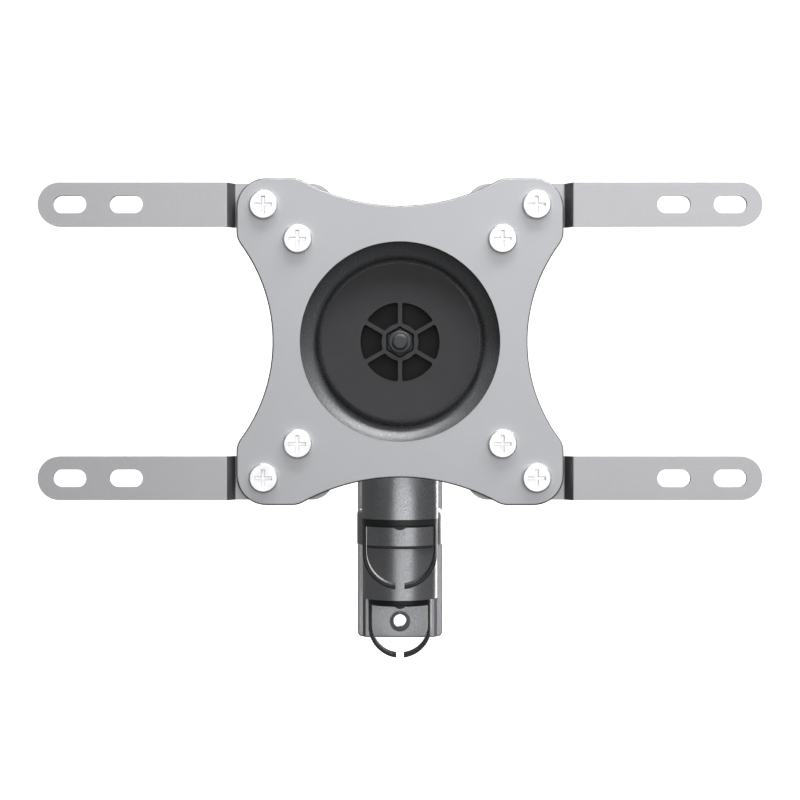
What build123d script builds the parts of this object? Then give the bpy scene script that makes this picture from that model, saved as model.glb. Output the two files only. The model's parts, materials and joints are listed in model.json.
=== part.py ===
from build123d import *
import os

# Swivel wall mount for a flat screen, in millimetres.
# The wall is the plane y = 0 and the screen faces -Y. The origin lies on the wall,
# midway between the two wall screw holes.

# Layout of the four axes
wall_axis_offset = 29.5  # wall to the upright axis that the arm swings on
arm_reach = 154.0  # between the arm's two upright axes
tilt_offset = 26.0  # upright axis of the head to the tilt axis
face_offset = 33.0  # tilt axis to the front of the screen plate
head_height = 57.2  # centre of the screen plate above the middle of the wall plate

# Screen plate
large_square = 100.0  # hole pattern for the strips, and for 100 mm screens
square_step = 25.0  # from the large screw square to the small one
plate_margin = 9.9  # from the large screw square to the edges of the plate
plate_thickness = 2.5
plate_corner_r = 11.0
side_waist = 46.7  # half width where the left and right sides are hollowed
side_hollow_r = 60.0
top_waist = 49.8  # half height where the top and bottom are hollowed
top_hollow_r = 74.0
lobe_blend_r = 8.0
plate_edge_r = 0.6
plate_opening_r = 36.7

# Screws and nuts of the screen plate
screw_r = 2.4
screw_hole_r = 2.7
screw_length = 10.0
screw_head_r = 5.3
screw_head_height = 2.0
screw_head_round = 0.6
recess_length = 6.4
recess_width = 1.4
recess_depth = 1.3
recess_taper = 12.0  # degrees
screw_end_chamfer = 0.5
small_nut_flats = 8.0
small_nut_height = 4.0

# Extension strips
strip_width = 16.0
strip_thickness = 2.0
strip_inner_x = 24.3
strip_outer_x = 132.3
strip_step = 4.6  # how far the outer part stands forward of the inner part
strip_ramp = 2.4
strip_bend_r = 1.0
strip_plate_gap = 0.7  # between the plate's edge and the step
slot_length = 12.2
slot_width = 6.4
screen_slot_x = 100.0
outer_slot_x = 120.6

# Pivot dish
dish_thickness = 2.0
dish_flange_margin = 6.5  # from the small screw square to the flange's sides
dish_flange_corner_r = 6.0
dish_flange_gap = 0.4  # between the flange and the strips
dish_lip = 1.2  # how far the dish's mouth is wider than the plate's opening
dish_mid_r = 31.5
dish_mid_depth = 9.0
dish_bottom_r = 30.6
dish_bottom_depth = 12.0
dish_bowl = 0.85  # how far the sloping wall bows outwards
dish_ridge_r = 3.0  # where the sloping wall turns down to the bottom
dish_bottom_round = 1.5

# Clamp disc, its bolt and its nut
disc_r = 29.15
disc_thickness = 5.0
disc_edge_r = 0.2
window_outer_r = 14.6
window_inner_r = 6.8
window_corner_r = 0.8
spoke_width = 1.55
spoke_count = 6
nut_pocket_depth = 4.6
pilot_inset = 0.2
pilot_end_gap = 0.2  # between the end of the pilot and the tilt block
clamp_bolt_r = 3.0
clamp_flats = 10.0
clamp_nut_height = 3.2
clamp_head_height = 4.0

# Friction washers either side of the dish bottom
front_friction_thickness = 0.6
rear_friction_thickness = 1.0
friction_inset = 1.0

# Tilt block and its bolt
block_r = 20.0
block_thickness = 5.0
block_pocket_depth = 2.0
cheek_thickness = 5.0
cheek_end_r = 8.5
cheek_root = 28.0
tongue_width = 10.0
tilt_friction_thickness = 1.0
tilt_bolt_r = 4.0
tilt_flats = 13.0
tilt_head_height = 5.3
tilt_nut_height = 6.5
tilt_washer_r = 8.0
tilt_washer_thickness = 1.6

# Upright pivots, with the same kind of bolt in both
pivot_bolt_r = 5.0
pivot_flats = 17.0
pivot_head_height = 6.4
pivot_nut_height = 7.5
pivot_washer_r = 10.0
pivot_washer_thickness = 2.0
bush_wall = 2.0
bush_sleeve = 12.0
seam_height = 1.6  # flange of a bush, seen as a dark seam between the parts it spaces
seam_inset = 0.8

# Lock nuts and the hexagon bolts that they hold
collar_share = 0.415  # radius of a lock nut's round collar, of its width across flats
lock_collar_height = 2.0
lock_collar_round = 0.5
hexagon_chamfer = 0.6
bolt_end_chamfer = 0.8
bolt_stand = 1.0  # end of a bolt beyond its nut

# Arm
barrel_r = 15.0
barrel_height = 43.9
barrel_bottom = -10.7
barrel_nut_depth = 17.0
hub_r = 17.4
hub_half_height = 31.5
collar_r = 20.15
collar_height = 16.7
collar_round = 3.0
beam_width = 24.0
beam_web = 7.0
beam_top = 29.0
beam_front_bottom = -6.0
beam_rear_bottom = -11.0
beam_flange = 6.0
beam_end = 10.0  # solid length of beam between a pocket and a barrel
beam_pocket_r = 4.0
beam_edge_r = 2.5

# Swivel head
head_barrel_height = 41.5
tongue_root = 30.0
tongue_end_r = 8.5

# Caps and cable clips
cap_thickness = 3.1
cap_inset = 0.1
cap_round = 1.0
cap_seat_r = 12.4
cap_seat_depth = 5.0
spigot_wall = 1.5
spigot_height = 4.0
rib_r = 3.5  # half-round rib under the cap of a cable clip
rib_proud = 0.9
clip_inset = 0.1  # from the cap's rim to the clip and to the ends of the rib
clip_thickness = 1.6
clip_depth = 10.0
clip_drop = 24.8  # underside of the cap to the lowest point of the clip
clip_gap = 3.5
clip_edge_r = 0.5

# Wall bracket
wall_flange_width = 2.4  # either side of the raised middle
wall_plate_height = 156.2
wall_flange_thickness = 4.5
wall_raise = 4.0
raised_base_width = 35.8
raised_draft = 1.45  # how far each side of the raised middle leans in
wall_corner_r = 2.0
wall_edge_r = 0.7
wall_hole_spacing = 140.8
wall_hole_r = 3.05
countersink_r = 4.95
knuckle_height = 23.8
knuckle_nut_depth = 15.0
knuckle_web_width = 32.0
core_width = 20.0
core_height = 50.0
core_depth = 4.0

# Clearances
fit_gap = 0.05  # round a piece that is fixed in another
flats_gap = 0.1  # beside the flats of a hexagon in its pocket
running_gap = 0.08  # round a shaft that turns in its bore

# Places that follow from the sizes above
wall_axis_y = -wall_axis_offset
head_axis_y = wall_axis_y - arm_reach
tilt_axis_y = head_axis_y - tilt_offset
face_y = tilt_axis_y - face_offset
barrel_top = barrel_bottom + barrel_height
head_bottom = barrel_top + seam_height
head_top = head_bottom + head_barrel_height
knuckle_inner = hub_half_height + seam_height
knuckle_outer = knuckle_inner + knuckle_height
raised_y = -(wall_flange_thickness + wall_raise)
wall_plate_width = raised_base_width + 2 * wall_flange_width
raised_face_width = raised_base_width - 2 * raised_draft
plate_size = large_square + 2 * plate_margin
small_square = large_square - square_step  # hole pattern for the dish, and for 75 mm screens
dish_flange_x = small_square + 2 * dish_flange_margin
dish_back = dish_bottom_depth + dish_thickness
block_front = dish_back + rear_friction_thickness
block_back = block_front + block_thickness
disc_back = dish_bottom_depth - front_friction_thickness
disc_front = disc_back - disc_thickness
clamp_seat = disc_front + nut_pocket_depth
pilot_r = window_inner_r - pilot_inset
cheek_inner = tongue_width / 2 + tilt_friction_thickness
cheek_outer = cheek_inner + cheek_thickness
bush_bore_r = pivot_bolt_r + running_gap
bush_r = bush_bore_r + bush_wall
bolt_hole_r = pivot_bolt_r + fit_gap
cap_r = barrel_r - cap_inset
clip_r = cap_r - clip_inset


def facing(depth):
    """Plane parallel to the screen, at a depth behind the front of the screen plate."""
    return Plane(origin=(0, face_y + depth, head_height), x_dir=(1, 0, 0), z_dir=(0, -1, 0))


def level(axis_y, z, up=1):
    """Level plane centred on an upright axis, with its normal up (1) or down (-1)."""
    return Plane(origin=(0, axis_y, z), x_dir=(1, 0, 0), z_dir=(0, 0, up))


def upright(axis_y, z):
    """Plane through an upright axis, parallel to the wall, with its origin at a height."""
    return Plane(origin=(0, axis_y, z), x_dir=(1, 0, 0), z_dir=(0, -1, 0))


def beside(x, side=1):
    """Upright plane centred on the tilt axis, with its normal right (1) or left (-1)."""
    return Plane(origin=(x, tilt_axis_y, head_height), x_dir=(0, side, 0), z_dir=(side, 0, 0))


def save(builder, name):
    """Label a finished piece and write it to a file of its own."""
    builder.part.label = name
    export_step(builder.part, f"parts/{name}.step")


def washer(plane, outer_r, inner_r, thickness):
    """Flat washer that rises from a plane."""
    with BuildPart() as flat:
        with BuildSketch(plane):
            Circle(outer_r)
            Circle(inner_r, mode=Mode.SUBTRACT)
        extrude(amount=thickness)
    return flat


def hex_bolt(plane, flats, head_rise, shank_r, length):
    """Bolt with its head above a plane and its shank below it."""
    along = Axis(plane.origin, plane.z_dir)
    with BuildPart() as bolt:
        with BuildSketch(plane):
            RegularPolygon(radius=flats / 2, side_count=6, major_radius=False, rotation=30)
        extrude(amount=head_rise)
        chamfer(bolt.faces().sort_by(along)[-1].edges(), hexagon_chamfer)
        with BuildSketch(plane):
            Circle(shank_r)
        extrude(amount=-length)
        chamfer(bolt.faces().sort_by(along)[0].edges(), bolt_end_chamfer)
    return bolt


def lock_nut(plane, flats, height, bore_r):
    """Hexagon nut with a round locking collar, seated on a plane."""
    along = Axis(plane.origin, plane.z_dir)
    with BuildPart() as nut:
        with BuildSketch(plane):
            RegularPolygon(radius=flats / 2, side_count=6, major_radius=False, rotation=30)
        extrude(amount=height)
        chamfer(nut.faces().sort_by(along)[-1].edges(), hexagon_chamfer)
        with BuildSketch(plane):
            Circle(flats * collar_share)
        extrude(amount=height + lock_collar_height)
        fillet(nut.faces().sort_by(along)[-1].edges(), lock_collar_round)
        with BuildSketch(plane):
            Circle(bore_r + fit_gap)
        extrude(amount=height + lock_collar_height, mode=Mode.SUBTRACT)
    return nut


def flanged_bush(plane, flange_r):
    """Bush with its flange above a plane and its sleeve below it."""
    with BuildPart() as bush:
        with BuildSketch(plane):
            Circle(flange_r)
        extrude(amount=seam_height)
        with BuildSketch(plane):
            Circle(bush_r)
        extrude(amount=-bush_sleeve)
        with BuildSketch(plane):
            Circle(bush_bore_r)
        extrude(amount=bush_sleeve, both=True, mode=Mode.SUBTRACT)
    return bush


def end_cap(axis_y, z, up=1):
    """Cap that closes the end of a barrel, with a ring that snaps into its mouth."""
    mouth = level(axis_y, z, up)
    with BuildPart() as cap:
        with BuildSketch(mouth):
            Circle(cap_r)
        extrude(amount=cap_thickness)
        fillet(cap.faces().sort_by(Axis(mouth.origin, mouth.z_dir))[-1].edges(), cap_round)
        with BuildSketch(mouth):
            Circle(cap_seat_r - fit_gap)
            Circle(cap_seat_r - fit_gap - spigot_wall, mode=Mode.SUBTRACT)
        extrude(amount=-spigot_height)
    return cap


def cap_rib(axis_y, z):
    """Half-round rib across the underside of a bottom cap, trimmed to the cap's round."""
    with BuildPart() as rib:
        with BuildSketch(level(axis_y, z, -1)):
            Circle(clip_r)
        extrude(amount=cap_thickness + rib_proud)
        with BuildSketch(upright(axis_y, z)):
            with Locations((0, rib_r - cap_thickness - rib_proud)):
                Circle(rib_r)
        extrude(amount=cap_r, both=True, mode=Mode.INTERSECT)
    return rib


def clip_cap(axis_y, z):
    """Bottom cap with a rib and an open ring below it that holds the cables."""
    ring_drop = cap_thickness + clip_drop - clip_r
    leg_x = clip_r - clip_thickness / 2
    with BuildPart() as cap:
        with BuildSketch(upright(axis_y, z)):
            with Locations((0, -ring_drop)):
                Circle(clip_r)
                Circle(clip_r - clip_thickness, mode=Mode.SUBTRACT)
                Rectangle(
                    2 * clip_r,
                    clip_r,
                    align=(Align.CENTER, Align.MIN),
                    mode=Mode.SUBTRACT,
                )
                Rectangle(
                    clip_gap,
                    clip_r,
                    align=(Align.CENTER, Align.MAX),
                    mode=Mode.SUBTRACT,
                )
            with Locations((leg_x, 0), (-leg_x, 0)):
                Rectangle(clip_thickness, ring_drop, align=(Align.CENTER, Align.MAX))
        extrude(amount=clip_depth / 2, both=True)
        fillet(cap.faces().filter_by(Axis.Y).edges(), clip_edge_r)
        with BuildSketch(level(axis_y, z, -1)):
            Circle(clip_r)
        extrude(amount=cap_thickness + clip_drop, mode=Mode.INTERSECT)
        add(end_cap(axis_y, z, -1).part)
        add(cap_rib(axis_y, z).part)
    return cap


def hexagon_nut(plane, x, z, flats, height, bore_r):
    """Plain hexagon nut that rises from a plane."""
    with BuildPart() as nut:
        with BuildSketch(plane):
            with Locations((x, z)):
                RegularPolygon(radius=flats / 2, side_count=6, major_radius=False)
                Circle(bore_r, mode=Mode.SUBTRACT)
        extrude(amount=height)
    return nut


def cross_head_screw(x, z):
    """Screw with a low round head and a cross recess, seated on the screen plate."""
    with BuildPart() as screw:
        with BuildSketch(facing(0)):
            with Locations((x, z)):
                Circle(screw_head_r)
        extrude(amount=screw_head_height)
        fillet(screw.faces().sort_by(Axis.Y)[0].edges(), screw_head_round)
        with BuildSketch(facing(0)):
            with Locations((x, z)):
                Circle(screw_r)
        extrude(amount=-screw_length)
        chamfer(screw.faces().sort_by(Axis.Y)[-1].edges(), screw_end_chamfer)
        with BuildSketch(facing(-screw_head_height)):
            with Locations((x, z)):
                Rectangle(recess_length, recess_width)
                Rectangle(recess_width, recess_length)
        extrude(amount=-recess_depth, taper=recess_taper, mode=Mode.SUBTRACT)
    return screw


def extension_strip(side, row):
    """Flat strip that steps forward past the plate's edge, right or left, high or low."""
    step_start = plate_size / 2 + strip_plate_gap
    step_end = step_start + strip_ramp
    inner_front = face_y + plate_thickness
    outer_front = inner_front - strip_step
    middle = row * large_square / 2
    length = strip_outer_x - strip_inner_x
    with BuildPart() as strip:
        with BuildSketch(Plane.XY.offset(head_height + middle)):
            with BuildLine():
                Polyline(
                    (side * strip_inner_x, inner_front),
                    (side * step_start, inner_front),
                    (side * step_end, outer_front),
                    (side * strip_outer_x, outer_front),
                    (side * strip_outer_x, outer_front + strip_thickness),
                    (side * (step_end + strip_bend_r), outer_front + strip_thickness),
                    (side * (step_start + strip_bend_r), inner_front + strip_thickness),
                    (side * strip_inner_x, inner_front + strip_thickness),
                    close=True,
                )
            section = make_face()
            bends = section.vertices().sort_by(lambda v: abs(abs(v.X) - step_end))[:4]
            fillet(bends, strip_bend_r)
        extrude(amount=strip_width / 2, both=True)
        with BuildSketch(facing(0)):
            with Locations((side * (strip_inner_x + strip_outer_x) / 2, middle)):
                SlotOverall(length, strip_width)
        extrude(amount=strip_step + strip_thickness, both=True, mode=Mode.INTERSECT)
        with BuildSketch(facing(0)):
            with Locations((side * large_square / 2, middle)):
                Circle(screw_hole_r)
            with Locations((side * screen_slot_x, middle), (side * outer_slot_x, middle)):
                SlotOverall(slot_length, slot_width)
        extrude(amount=strip_step + strip_thickness, both=True, mode=Mode.SUBTRACT)
    return strip


os.makedirs("parts", exist_ok=True)

# Wall bracket: plate with a raised middle, and a knuckle above and below the arm
with BuildPart() as wall_bracket:
    with BuildSketch(Plane.XY.offset(-wall_plate_height / 2)):
        with BuildLine():
            Polyline(
                (-wall_plate_width / 2, 0),
                (-wall_plate_width / 2, -wall_flange_thickness),
                (-raised_base_width / 2, -wall_flange_thickness),
                (-raised_face_width / 2, raised_y),
                (raised_face_width / 2, raised_y),
                (raised_base_width / 2, -wall_flange_thickness),
                (wall_plate_width / 2, -wall_flange_thickness),
                (wall_plate_width / 2, 0),
                close=True,
            )
        make_face()
    extrude(amount=wall_plate_height)
    corners = wall_bracket.edges().filter_by(Axis.Y)
    fillet(corners.filter_by(lambda e: abs(e.center().X) > raised_base_width / 2), wall_corner_r)
    fronts = wall_bracket.faces().filter_by(Axis.Y).sort_by(Axis.Y)[:3]
    flange_middle = (raised_base_width + wall_plate_width) / 4
    rims = fronts.edges().filter_by(
        lambda e: e.length < wall_plate_width or abs(e.center().X) > flange_middle
    )
    fillet(rims, wall_edge_r)
    for up in (1, -1):
        with BuildSketch(level(wall_axis_y, up * knuckle_inner, up)):
            Circle(hub_r)
            with Locations((0, up * (raised_y - wall_axis_y) / 2)):
                Rectangle(knuckle_web_width, raised_y - wall_axis_y)
        extrude(amount=knuckle_height)
    with BuildSketch(level(wall_axis_y, -knuckle_outer)):
        Circle(bolt_hole_r)
    extrude(amount=2 * knuckle_outer, mode=Mode.SUBTRACT)
    with BuildSketch(level(wall_axis_y, -knuckle_outer)):
        Circle(cap_seat_r)
    extrude(amount=knuckle_nut_depth, mode=Mode.SUBTRACT)
    with BuildSketch(level(wall_axis_y, knuckle_outer)):
        Circle(cap_seat_r)
    extrude(amount=-cap_seat_depth, mode=Mode.SUBTRACT)
    with BuildSketch(level(wall_axis_y, knuckle_outer - cap_seat_depth)):
        RegularPolygon(
            radius=pivot_flats / 2 + flats_gap, side_count=6, major_radius=False, rotation=30
        )
    extrude(amount=-pivot_head_height, mode=Mode.SUBTRACT)
    with Locations(
        Plane(origin=(0, raised_y, wall_hole_spacing / 2), z_dir=(0, -1, 0)),
        Plane(origin=(0, raised_y, -wall_hole_spacing / 2), z_dir=(0, -1, 0)),
    ):
        CounterSinkHole(radius=wall_hole_r, counter_sink_radius=countersink_r)
    with BuildSketch(Plane.XZ):
        RectangleRounded(core_width, core_height, wall_corner_r)
    extrude(amount=core_depth, mode=Mode.SUBTRACT)
save(wall_bracket, "wall_bracket")

# Upright pivot at the wall
wall_head_seat = knuckle_outer - cap_seat_depth - pivot_head_height
wall_washer_seat = -(knuckle_outer - knuckle_nut_depth)
wall_nut_seat = wall_washer_seat - pivot_washer_thickness
wall_bolt_end = wall_nut_seat - pivot_nut_height - lock_collar_height - bolt_stand
wall_pivot_bolt = hex_bolt(
    level(wall_axis_y, wall_head_seat),
    pivot_flats,
    pivot_head_height,
    pivot_bolt_r,
    wall_head_seat - wall_bolt_end,
)
save(wall_pivot_bolt, "wall_pivot_bolt")
wall_pivot_washer = washer(
    level(wall_axis_y, wall_washer_seat, -1), pivot_washer_r, bolt_hole_r, pivot_washer_thickness
)
save(wall_pivot_washer, "wall_pivot_washer")
wall_pivot_nut = lock_nut(
    level(wall_axis_y, wall_nut_seat, -1), pivot_flats, pivot_nut_height, pivot_bolt_r
)
save(wall_pivot_nut, "wall_pivot_nut")
wall_upper_bush = flanged_bush(level(wall_axis_y, hub_half_height), hub_r - seam_inset)
save(wall_upper_bush, "wall_upper_bush")
wall_lower_bush = flanged_bush(level(wall_axis_y, -hub_half_height, -1), hub_r - seam_inset)
save(wall_lower_bush, "wall_lower_bush")
wall_top_cap = end_cap(wall_axis_y, knuckle_outer)
save(wall_top_cap, "wall_top_cap")
wall_cable_clip = clip_cap(wall_axis_y, -knuckle_outer)
save(wall_cable_clip, "wall_cable_clip")

# Arm: hub with a collar at the wall, barrel at the front, and a pocketed beam between them
with BuildPart() as arm:
    with BuildSketch(Plane.YZ):
        with BuildLine():
            Polyline(
                (head_axis_y, beam_top),
                (wall_axis_y, beam_top),
                (wall_axis_y, beam_rear_bottom),
                (head_axis_y, beam_front_bottom),
                close=True,
            )
        make_face()
    extrude(amount=beam_width / 2, both=True)
    fillet(arm.edges().sort_by(SortBy.LENGTH)[-4:], beam_edge_r)
    pocket_start = head_axis_y + barrel_r + beam_end
    pocket_end = wall_axis_y - hub_r - beam_end
    pocket_length = (pocket_end - pocket_start - beam_flange) / 2
    slope = (beam_rear_bottom - beam_front_bottom) / arm_reach
    for start in (pocket_start, pocket_end - pocket_length):
        end = start + pocket_length
        for side in (1, -1):
            with BuildSketch(Plane.YZ.offset(side * beam_web / 2)):
                with BuildLine():
                    FilletPolyline(
                        (start, beam_top - beam_flange),
                        (end, beam_top - beam_flange),
                        (end, beam_front_bottom + slope * (end - head_axis_y) + beam_flange),
                        (start, beam_front_bottom + slope * (start - head_axis_y) + beam_flange),
                        radius=beam_pocket_r,
                        close=True,
                    )
                make_face()
            extrude(amount=side * beam_width / 2, mode=Mode.SUBTRACT)
    with BuildSketch(level(head_axis_y, barrel_bottom)):
        Circle(barrel_r)
    extrude(amount=barrel_height)
    with BuildSketch(level(wall_axis_y, -hub_half_height)):
        Circle(hub_r)
    extrude(amount=2 * hub_half_height)
    with BuildSketch(upright(wall_axis_y, -hub_half_height)) as rim:
        Rectangle(collar_r, collar_height, align=(Align.MIN, Align.MIN))
        fillet(rim.vertices().sort_by(lambda v: v.X + v.Y)[-1], collar_round)
    revolve(axis=Axis((0, wall_axis_y, 0), (0, 0, 1)))
    with BuildSketch(level(wall_axis_y, -hub_half_height), level(head_axis_y, barrel_bottom)):
        Circle(bush_r + fit_gap)
    extrude(amount=2 * hub_half_height, mode=Mode.SUBTRACT)
    with BuildSketch(level(head_axis_y, barrel_bottom)):
        Circle(cap_seat_r)
    extrude(amount=barrel_nut_depth, mode=Mode.SUBTRACT)
save(arm, "arm")

# Swivel head: knuckle on the arm's front barrel, with a tongue towards the screen
with BuildPart() as swivel_head:
    with BuildSketch(beside(0)):
        Circle(tongue_end_r)
        with Locations((tilt_offset - barrel_r, 0)):
            Rectangle(barrel_r, tongue_root, align=(Align.MIN, Align.CENTER))
        make_hull()
    extrude(amount=tongue_width / 2, both=True)
    with BuildSketch(level(head_axis_y, head_bottom)):
        Circle(barrel_r)
    extrude(amount=head_barrel_height)
    with BuildSketch(level(head_axis_y, head_bottom)):
        Circle(bolt_hole_r)
    extrude(amount=head_barrel_height, mode=Mode.SUBTRACT)
    with BuildSketch(level(head_axis_y, head_top)):
        Circle(cap_seat_r)
    extrude(amount=-cap_seat_depth, mode=Mode.SUBTRACT)
    with BuildSketch(level(head_axis_y, head_top - cap_seat_depth)):
        RegularPolygon(
            radius=pivot_flats / 2 + flats_gap, side_count=6, major_radius=False, rotation=30
        )
    extrude(amount=-pivot_head_height, mode=Mode.SUBTRACT)
    with BuildSketch(beside(0)):
        Circle(tilt_bolt_r + running_gap)
    extrude(amount=tongue_width, both=True, mode=Mode.SUBTRACT)
save(swivel_head, "swivel_head")

# Upright pivot of the head
head_seat = head_top - cap_seat_depth - pivot_head_height
lower_bush_seat = barrel_bottom + barrel_nut_depth
head_washer_seat = lower_bush_seat - seam_height
head_nut_seat = head_washer_seat - pivot_washer_thickness
head_bolt_end = head_nut_seat - pivot_nut_height - lock_collar_height - bolt_stand
head_pivot_bolt = hex_bolt(
    level(head_axis_y, head_seat),
    pivot_flats,
    pivot_head_height,
    pivot_bolt_r,
    head_seat - head_bolt_end,
)
save(head_pivot_bolt, "head_pivot_bolt")
head_pivot_washer = washer(
    level(head_axis_y, head_washer_seat, -1), pivot_washer_r, bolt_hole_r, pivot_washer_thickness
)
save(head_pivot_washer, "head_pivot_washer")
head_pivot_nut = lock_nut(
    level(head_axis_y, head_nut_seat, -1), pivot_flats, pivot_nut_height, pivot_bolt_r
)
save(head_pivot_nut, "head_pivot_nut")
head_upper_bush = flanged_bush(level(head_axis_y, barrel_top), barrel_r - seam_inset)
save(head_upper_bush, "head_upper_bush")
head_lower_bush = flanged_bush(level(head_axis_y, lower_bush_seat, -1), cap_seat_r - seam_inset)
save(head_lower_bush, "head_lower_bush")
head_top_cap = end_cap(head_axis_y, head_top)
save(head_top_cap, "head_top_cap")
arm_cable_clip = clip_cap(head_axis_y, barrel_bottom)
save(arm_cable_clip, "arm_cable_clip")

# Tilt block: round face behind the dish, with a cheek either side of the tongue
with BuildPart() as tilt_block:
    with BuildSketch(facing(block_back)):
        Circle(block_r)
    extrude(amount=block_thickness)
    for side in (1, -1):
        with BuildSketch(beside(side * cheek_inner)):
            Circle(cheek_end_r)
            with Locations((block_back - face_offset, 0)):
                Rectangle(block_thickness, cheek_root, align=(Align.MAX, Align.CENTER))
            make_hull()
        extrude(amount=side * cheek_thickness)
    with BuildSketch(beside(0)):
        Circle(tilt_bolt_r + fit_gap)
    extrude(amount=cheek_outer, both=True, mode=Mode.SUBTRACT)
    with BuildSketch(facing(block_back)):
        Circle(clamp_bolt_r + fit_gap)
    extrude(amount=block_thickness, mode=Mode.SUBTRACT)
    with BuildSketch(facing(block_back)):
        RegularPolygon(
            radius=clamp_flats / 2 + flats_gap, side_count=6, major_radius=False, rotation=30
        )
    extrude(amount=block_pocket_depth, mode=Mode.SUBTRACT)
save(tilt_block, "tilt_block")

# Tilt bolt across the cheeks, with its washers and nut
tilt_seat = cheek_outer + tilt_washer_thickness
tilt_bolt_length = 2 * tilt_seat + tilt_nut_height + lock_collar_height + bolt_stand
tilt_bolt = hex_bolt(
    beside(-tilt_seat, -1), tilt_flats, tilt_head_height, tilt_bolt_r, tilt_bolt_length
)
save(tilt_bolt, "tilt_bolt")
tilt_nut = lock_nut(beside(tilt_seat), tilt_flats, tilt_nut_height, tilt_bolt_r)
save(tilt_nut, "tilt_nut")
for side, name in ((1, "right"), (-1, "left")):
    bolt_washer = washer(
        beside(side * cheek_outer, side), tilt_washer_r, tilt_bolt_r + fit_gap, tilt_washer_thickness
    )
    save(bolt_washer, f"tilt_bolt_washer_{name}")
    friction_washer = washer(
        beside(side * tongue_width / 2, side),
        cheek_end_r,
        tilt_bolt_r + fit_gap,
        tilt_friction_thickness,
    )
    save(friction_washer, f"tilt_friction_washer_{name}")

# Pivot dish: pressed cup that turns between the clamp disc and the tilt block
with BuildPart() as pivot_dish:
    mouth_r = plate_opening_r + dish_lip
    rim_r = mouth_r + 2 * dish_thickness
    flange_z = large_square - strip_width - 2 * dish_flange_gap
    with BuildSketch(beside(0).shift_origin((0, face_y, head_height))):
        with BuildLine():
            Line((plate_thickness, rim_r), (plate_thickness, mouth_r))
            SagittaArc((plate_thickness, mouth_r), (dish_mid_depth, dish_mid_r), dish_bowl)
            wall = Line((dish_mid_depth, dish_mid_r), (dish_bottom_depth, dish_bottom_r))
            Line((dish_bottom_depth, dish_bottom_r), (dish_bottom_depth, pilot_r + running_gap))
            fillet(wall.vertices().sort_by(Axis.X)[0], dish_ridge_r)
            fillet(wall.vertices().sort_by(Axis.X)[-1], dish_bottom_round)
            offset(amount=dish_thickness, side=Side.LEFT)
        make_face()
    revolve(axis=Axis((0, face_y, head_height), (0, 1, 0)))
    with BuildSketch(facing(plate_thickness + dish_thickness)):
        RectangleRounded(dish_flange_x, flange_z, dish_flange_corner_r)
        Circle(rim_r - dish_thickness / 2, mode=Mode.SUBTRACT)
        with GridLocations(small_square, small_square, 2, 2):
            Circle(screw_hole_r, mode=Mode.SUBTRACT)
    extrude(amount=dish_thickness)
save(pivot_dish, "pivot_dish")

# Friction washers either side of the dish bottom
front_friction_washer = washer(
    facing(dish_bottom_depth),
    disc_r - friction_inset,
    pilot_r + running_gap,
    front_friction_thickness,
)
save(front_friction_washer, "front_friction_washer")
rear_friction_washer = washer(
    facing(block_front), block_r - friction_inset, pilot_r + friction_inset, rear_friction_thickness
)
save(rear_friction_washer, "rear_friction_washer")

# Clamp disc: windowed disc with a pocket for the nut and a pilot that centres the dish
with BuildPart() as clamp_disc:
    with BuildSketch(facing(disc_back)):
        Circle(disc_r)
    extrude(amount=disc_thickness)
    fillet(clamp_disc.faces().sort_by(Axis.Y)[0].edges(), disc_edge_r)
    with BuildSketch(facing(disc_back)) as windows:
        Circle(window_outer_r)
        Circle(window_inner_r, mode=Mode.SUBTRACT)
        with PolarLocations(0, spoke_count, start_angle=90):
            Rectangle(disc_r, spoke_width, align=(Align.MIN, Align.CENTER), mode=Mode.SUBTRACT)
        fillet(windows.vertices(), window_corner_r)
    extrude(amount=disc_thickness, mode=Mode.SUBTRACT)
    with BuildSketch(facing(disc_back)):
        Circle(pilot_r)
    extrude(amount=-(block_front - disc_back - pilot_end_gap))
    with BuildSketch(facing(clamp_seat)):
        RegularPolygon(
            radius=clamp_flats / 2 + flats_gap, side_count=6, major_radius=False, rotation=30
        )
    extrude(amount=nut_pocket_depth, mode=Mode.SUBTRACT)
    with BuildSketch(facing(block_front)):
        Circle(clamp_bolt_r + fit_gap)
    extrude(amount=block_front, mode=Mode.SUBTRACT)
save(clamp_disc, "clamp_disc")

# Clamp bolt and nut, on the axis that the screen turns on
clamp_head_seat = block_back - block_pocket_depth
clamp_end = clamp_seat - clamp_nut_height - lock_collar_height - bolt_stand
clamp_bolt_plane = Plane(
    origin=(0, face_y + clamp_head_seat, head_height), x_dir=(1, 0, 0), z_dir=(0, 1, 0)
)
clamp_bolt = hex_bolt(
    clamp_bolt_plane, clamp_flats, clamp_head_height, clamp_bolt_r, clamp_head_seat - clamp_end
)
save(clamp_bolt, "clamp_bolt")
clamp_nut = lock_nut(facing(clamp_seat), clamp_flats, clamp_nut_height, clamp_bolt_r)
save(clamp_nut, "clamp_nut")

# Screen plate
with BuildPart() as screen_plate:
    with BuildSketch(facing(plate_thickness)) as outline:
        RectangleRounded(plate_size, plate_size, plate_corner_r)
        side_centre = side_waist + side_hollow_r
        with Locations((side_centre, 0), (-side_centre, 0)):
            Circle(side_hollow_r, mode=Mode.SUBTRACT)
        top_centre = top_waist + top_hollow_r
        with Locations((0, top_centre), (0, -top_centre)):
            Circle(top_hollow_r, mode=Mode.SUBTRACT)
        lobe_corners = outline.vertices().sort_by(lambda v: min(abs(v.X), abs(v.Y)))[:8]
        fillet(lobe_corners, lobe_blend_r)
    extrude(amount=plate_thickness)
    front = screen_plate.faces().sort_by(Axis.Y)[0]
    fillet(front.outer_wire().edges(), plate_edge_r)
    with BuildSketch(facing(plate_thickness)):
        Circle(plate_opening_r)
        with GridLocations(large_square, large_square, 2, 2):
            Circle(screw_hole_r)
        with GridLocations(small_square, small_square, 2, 2):
            Circle(screw_hole_r)
    extrude(amount=plate_thickness, mode=Mode.SUBTRACT)
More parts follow.
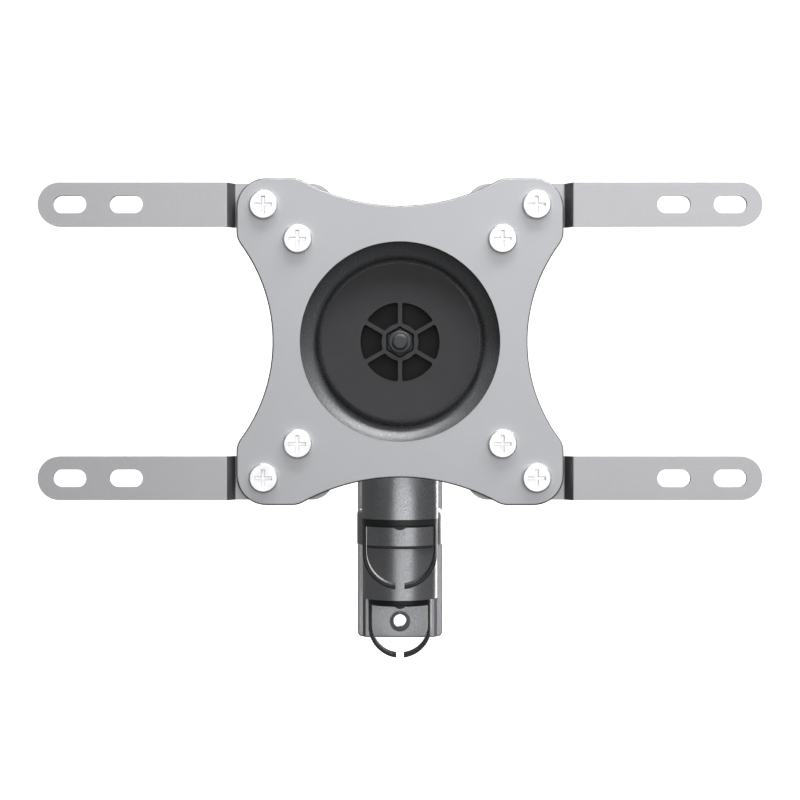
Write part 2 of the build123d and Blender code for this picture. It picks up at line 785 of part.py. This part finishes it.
save(screen_plate, "screen_plate")

# Strips, screws and nuts on the screen plate
nut_plane = facing(plate_thickness + strip_thickness + small_nut_height)
for row, height_name in ((1, "upper"), (-1, "lower")):
    for side, side_name in ((1, "right"), (-1, "left")):
        corner = f"{height_name}_{side_name}"
        save(extension_strip(side, row), f"strip_{corner}")
        for square, pattern in ((large_square, "outer"), (small_square, "inner")):
            x = side * square / 2
            z = row * square / 2
            save(cross_head_screw(x, z), f"{pattern}_screw_{corner}")
            nut = hexagon_nut(nut_plane, x, z, small_nut_flats, small_nut_height, screw_r + fit_gap)
            save(nut, f"{pattern}_nut_{corner}")
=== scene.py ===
import json
import math

import bpy
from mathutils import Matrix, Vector


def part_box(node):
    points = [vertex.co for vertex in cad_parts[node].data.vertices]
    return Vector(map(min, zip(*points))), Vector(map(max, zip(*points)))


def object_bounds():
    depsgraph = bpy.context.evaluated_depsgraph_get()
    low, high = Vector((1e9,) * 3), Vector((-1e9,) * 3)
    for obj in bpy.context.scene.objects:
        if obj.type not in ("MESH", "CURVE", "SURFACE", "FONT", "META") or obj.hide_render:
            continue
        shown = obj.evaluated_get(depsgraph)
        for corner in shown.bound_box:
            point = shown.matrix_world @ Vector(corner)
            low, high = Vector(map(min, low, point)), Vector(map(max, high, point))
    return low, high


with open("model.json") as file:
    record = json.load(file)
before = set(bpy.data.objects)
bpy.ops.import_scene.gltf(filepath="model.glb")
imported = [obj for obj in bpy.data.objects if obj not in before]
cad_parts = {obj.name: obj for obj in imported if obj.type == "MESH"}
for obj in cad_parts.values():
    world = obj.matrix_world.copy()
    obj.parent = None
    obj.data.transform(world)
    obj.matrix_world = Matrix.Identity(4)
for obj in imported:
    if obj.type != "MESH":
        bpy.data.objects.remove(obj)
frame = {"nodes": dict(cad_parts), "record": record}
cad_low, cad_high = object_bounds()
nodes = frame["nodes"]

# Lengths are in metres, unless a line says otherwise.

# Camera, from the framing of the photograph
image_px = 800
plate_px_per_metre = 2732.5  # the 100 mm screw square spans 273 px
camera_distance = 0.750  # in front of the screen plate
camera_height = 0.0358
sensor_mm = 36.0

# Stage
floor_z = -0.60
stage_half_width = 4.0
stage_front_y = -4.0
stage_back_y = 2.2
stage_height = 4.0
sweep_radius = 0.8
sweep_steps = 24
dome_radius = 12.0
dome_segments = 48
dome_rings = 24
stage_roughness = 0.9
stage_glow = 1.0
world_strength = 0.11
white = (1.0, 1.0, 1.0, 1.0)

# Lights: name, azimuth and elevation in degrees, distance, width, height, power in watts
lights = [
    ("key", 13, 15, 1.6, 1.82, 1.80, 12.4),
    ("top", 58, 60, 1.3, 0.6, 0.6, 22),
    ("overhead", -6, 66, 1.3, 0.25, 0.25, 10.5),
    ("right_rim", 160, 8, 1.5, 0.56, 1.2, 10),
    ("left_rim", -150, 38, 1.5, 0.35, 0.35, 8),
    ("back", 180, 42, 1.8, 1.8, 0.6, 8),
]

# Finishes: how large the features of their noise are, and how deep the bumps
noise_roughness = 0.6
cloud_size = 0.030
paint_grain = 0.00045
paint_depth = 0.00001
paint_roughness = 0.48
paint_metallic = 0.8
flow_size = 0.012
skin_grain = 0.00025
mottle_size = 0.004
mark_size = 0.00020
mark_depth = 0.000008

# Share of a sheet's surface normal along Y, where it counts as flat and where as turned away, for
# the painted edge shade
flat_normal = 0.98
turned_normal = 0.86


def rgb(red, green, blue):
    """Linear colour from sRGB values of 0 to 255."""
    def linear(value):
        share = value / 255
        return share / 12.92 if share <= 0.04045 else ((share + 0.055) / 1.055) ** 2.4

    return (linear(red), linear(green), linear(blue), 1.0)


class Finish:
    """A procedural material: a principled surface whose colour, roughness and bump are built up."""

    def __init__(self, name, color, roughness, metallic=0.0, specular=0.5):
        self.material = bpy.data.materials.new(name)
        self.material.use_nodes = True
        self.tree = self.material.node_tree
        self.surface = self.tree.nodes["Principled BSDF"]
        self.surface.inputs["Base Color"].default_value = color
        self.surface.inputs["Roughness"].default_value = roughness
        self.surface.inputs["Metallic"].default_value = metallic
        self.surface.inputs["Specular IOR Level"].default_value = specular
        self.color = color
        self.places = self.add("ShaderNodeTexCoord")
        self.normal = None

    def add(self, kind, **settings):
        """A new node with its settings."""
        node = self.tree.nodes.new(kind)
        for key, value in settings.items():
            setattr(node, key, value)
        return node

    def link(self, output, socket):
        self.tree.links.new(output, socket)

    def noise(self, size, detail=2.0):
        """Noise whose features are about size metres across."""
        node = self.add("ShaderNodeTexNoise")
        node.inputs["Scale"].default_value = 1 / size
        node.inputs["Detail"].default_value = detail
        node.inputs["Roughness"].default_value = noise_roughness
        self.link(self.places.outputs["Object"], node.inputs["Vector"])
        return node.outputs["Fac"]

    def band(self, value, low, high, to_low=0.0, to_high=1.0):
        """A value mapped from one range to another, held at both ends."""
        node = self.add("ShaderNodeMapRange", clamp=True)
        node.inputs["From Min"].default_value = low
        node.inputs["From Max"].default_value = high
        node.inputs["To Min"].default_value = to_low
        node.inputs["To Max"].default_value = to_high
        self.link(value, node.inputs["Value"])
        return node.outputs["Result"]

    def rim(self):
        """A mask of 1 where the surface of a sheet turns away from its flat front or back; shade is
        painted there.
        """
        parts = self.add("ShaderNodeSeparateXYZ")
        self.link(self.places.outputs["Normal"], parts.inputs["Vector"])
        facing = self.add("ShaderNodeMath", operation="ABSOLUTE")
        self.link(parts.outputs["Y"], facing.inputs[0])
        return self.band(facing.outputs["Value"], turned_normal, flat_normal, 1.0, 0.0)

    def shade(self, mask, amount):
        """Darkens (below 1) or lightens (above 1) the colour where the mask is 1."""
        node = self.add("ShaderNodeMix", data_type="RGBA")
        socket = self.surface.inputs["Base Color"]
        if socket.links:
            self.link(socket.links[0].from_socket, node.inputs["A"])
        else:
            node.inputs["A"].default_value = self.color
        node.inputs["B"].default_value = [min(c * amount, 1.0) for c in self.color[:3]] + [1.0]
        self.link(mask, node.inputs["Factor"])
        self.link(node.outputs["Result"], socket)

    def polish(self, mask, low, high):
        """Roughness that runs from low to high with the mask."""
        self.link(self.band(mask, 0.0, 1.0, low, high), self.surface.inputs["Roughness"])

    def bump(self, height, depth):
        """Raises the surface by depth metres where the height is 1."""
        node = self.add("ShaderNodeBump")
        node.inputs["Strength"].default_value = 1.0
        node.inputs["Distance"].default_value = depth
        self.link(height, node.inputs["Height"])
        if self.normal is not None:
            self.link(self.normal, node.inputs["Normal"])
        self.normal = node.outputs["Normal"]
        self.link(self.normal, self.surface.inputs["Normal"])


def silver_paint(name, color, edge):
    """Fine silver powder coat: cloudy tone, fine bright grain, and painted shade on steps, ramps and
    cut edges.
    """
    finish = Finish(name, color, paint_roughness, paint_metallic)
    clouds = finish.noise(cloud_size, detail=3)
    finish.shade(finish.band(clouds, 0.35, 0.65, to_high=0.5), 0.94)
    grain = finish.noise(paint_grain, detail=3)
    finish.shade(finish.band(grain, 0.40, 0.62, to_high=0.6), 1.10)
    # Painted shade: the colour is darkened where the sheet turns away from its front, on its edges,
    # steps and ramps.
    finish.shade(finish.rim(), edge)
    finish.polish(finish.band(grain, 0.3, 0.7), paint_roughness - 0.06, paint_roughness + 0.06)
    finish.bump(grain, paint_depth)
    return finish.material


def textured_coat(name, color, roughness, grain, depth, specular=0.5, metallic=0.0):
    """Rough powder coat: rounded grains over fine ones, with the tops a little smoother."""
    finish = Finish(name, color, roughness, metallic, specular)
    coarse = finish.noise(grain)
    fine = finish.noise(grain / 3)
    finish.shade(finish.band(coarse, 0.42, 0.66, to_high=0.8), 1.35)
    finish.polish(finish.band(coarse, 0.35, 0.65), roughness + 0.08, roughness - 0.08)
    finish.bump(coarse, depth)
    finish.bump(fine, depth / 3)
    return finish.material


def moulded(name, color, roughness, depth, specular=0.5):
    """Moulded plastic: almost even, with a very fine spark-eroded skin."""
    finish = Finish(name, color, roughness, specular=specular)
    skin = finish.noise(skin_grain)
    flow = finish.noise(flow_size)
    finish.shade(finish.band(flow, 0.35, 0.65, to_high=0.4), 0.92)
    finish.polish(finish.band(flow, 0.3, 0.7), roughness - 0.04, roughness + 0.04)
    finish.bump(skin, depth)
    return finish.material


def plated(name, color, roughness, metallic):
    """Plated steel: a soft mottling and fine turning marks."""
    finish = Finish(name, color, roughness, metallic)
    mottle = finish.noise(mottle_size, detail=3)
    marks = finish.noise(mark_size, detail=1)
    finish.shade(finish.band(mottle, 0.4, 0.65, to_high=0.5), 0.95)
    finish.polish(finish.band(mottle, 0.3, 0.7), roughness - 0.05, roughness + 0.08)
    finish.bump(marks, mark_depth)
    return finish.material


def glowing(name, base):
    """A matt surface that gives plain white light to the camera."""
    finish = Finish(name, base, stage_roughness, specular=0.0)
    finish.surface.inputs["Emission Color"].default_value = white
    finish.surface.inputs["Emission Strength"].default_value = stage_glow
    return finish.material


# Material slot, kind of finish, colour, and what sets it apart
finishes = [
    # The two silver sheet finishes paint shade on their turned edges and ramps; the number is how
    # far their colour is darkened there.
    ("plate_silver", silver_paint, rgb(192, 193, 196), dict(edge=0.25)),
    ("strip_silver", silver_paint, rgb(192, 192, 195), dict(edge=0.3)),
    ("zinc", plated, rgb(250, 250, 252), dict(roughness=0.30, metallic=0.9)),
    ("black_steel", plated, rgb(62, 64, 66), dict(roughness=0.45, metallic=0.0)),
    ("dish_black", textured_coat, rgb(91, 92, 94),
     dict(roughness=0.22, grain=0.00055, depth=0.00018, specular=0.9)),
    ("arm_grey", textured_coat, rgb(178, 179, 182),
     dict(roughness=0.32, grain=0.00035, depth=0.00003, metallic=0.95)),
    ("wall_silver", textured_coat, rgb(174, 175, 178),
     dict(roughness=0.34, grain=0.00045, depth=0.00003, metallic=0.95)),
    ("disc_grey", moulded, rgb(64, 64, 66), dict(roughness=0.70, depth=0.000004, specular=0.3)),
    ("cap_black", moulded, rgb(40, 41, 42), dict(roughness=0.42, depth=0.000006)),
    ("bush_grey", moulded, rgb(105, 105, 108), dict(roughness=0.55, depth=0.000004)),
    ("nylon_black", moulded, rgb(14, 14, 15), dict(roughness=0.45, depth=0.000004, specular=0.25)),
]
materials = {slot: make(slot, color, **look) for slot, make, color, look in finishes}
for part in frame["record"]["subparts"]:
    shown = nodes[part["node"]]
    shown.data.materials.clear()
    shown.data.materials.append(materials[part["material_slot"]])


def new_object(name, data):
    made = bpy.data.objects.new(name, data)
    bpy.context.scene.collection.objects.link(made)
    return made


def make_stage():
    """Pale floor that sweeps up behind the object, inside a white dome that only the camera sees."""
    profile = [(stage_front_y, floor_z)]
    for step in range(sweep_steps + 1):
        angle = math.pi / 2 * step / sweep_steps
        profile.append((
            stage_back_y - sweep_radius + sweep_radius * math.sin(angle),
            floor_z + sweep_radius - sweep_radius * math.cos(angle),
        ))
    profile.append((stage_back_y, stage_height))
    corners = [(x, y, z) for y, z in profile for x in (-stage_half_width, stage_half_width)]
    faces = [(2 * i, 2 * i + 1, 2 * i + 3, 2 * i + 2) for i in range(len(profile) - 1)]
    mesh = bpy.data.meshes.new("floor")
    mesh.from_pydata(corners, [], faces)
    mesh.shade_smooth()
    floor = new_object("floor", mesh)
    floor.data.materials.append(glowing("floor_pale", rgb(240, 240, 240)))
    floor.visible_glossy = False
    floor.visible_diffuse = False

    bpy.ops.mesh.primitive_uv_sphere_add(
        segments=dome_segments, ring_count=dome_rings, radius=dome_radius
    )
    dome = bpy.context.object
    dome.name = "dome"
    dome.data.materials.append(glowing("dome_white", rgb(0, 0, 0)))
    for ray in ("visible_glossy", "visible_diffuse", "visible_transmission", "visible_shadow"):
        setattr(dome, ray, False)


def softbox(name, azimuth, elevation, distance, width, height, power, target):
    """Area light that faces a target; azimuth 0 is in front of the screen, 90 at its right."""
    around = math.radians(azimuth)
    above = math.radians(elevation)
    outward = Vector((
        math.sin(around) * math.cos(above),
        -math.cos(around) * math.cos(above),
        math.sin(above),
    ))
    light = bpy.data.lights.new(name, "AREA")
    light.shape = "RECTANGLE"
    light.size = width
    light.size_y = height
    light.energy = power
    lamp = new_object(name, light)
    lamp.location = target + outward * distance
    lamp.rotation_euler = outward.to_track_quat("Z", "Y").to_euler()
    lamp.visible_camera = False


def make_lights():
    """Large soft key in front, two lights above, and softer ones behind on each side."""
    centre = (cad_low + cad_high) / 2
    for light in lights:
        softbox(*light, centre)


def make_camera():
    """Level camera in front of the plate, with the photograph's framing."""
    camera = new_object("camera", bpy.data.cameras.new("camera"))
    camera.data.sensor_width = sensor_mm
    camera.data.lens = sensor_mm * plate_px_per_metre * camera_distance / image_px
    plate_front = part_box("screen_plate")[0].y
    camera.location = (0, plate_front - camera_distance, camera_height)
    camera.rotation_euler = (math.radians(90), 0, 0)
    bpy.context.scene.camera = camera


def set_world():
    world = bpy.data.worlds.new("studio")
    world.use_nodes = True
    background = world.node_tree.nodes["Background"]
    background.inputs["Color"].default_value = white
    background.inputs["Strength"].default_value = world_strength
    bpy.context.scene.world = world
    bpy.context.scene.view_settings.view_transform = "Standard"


make_stage()
make_lights()
make_camera()
set_world()
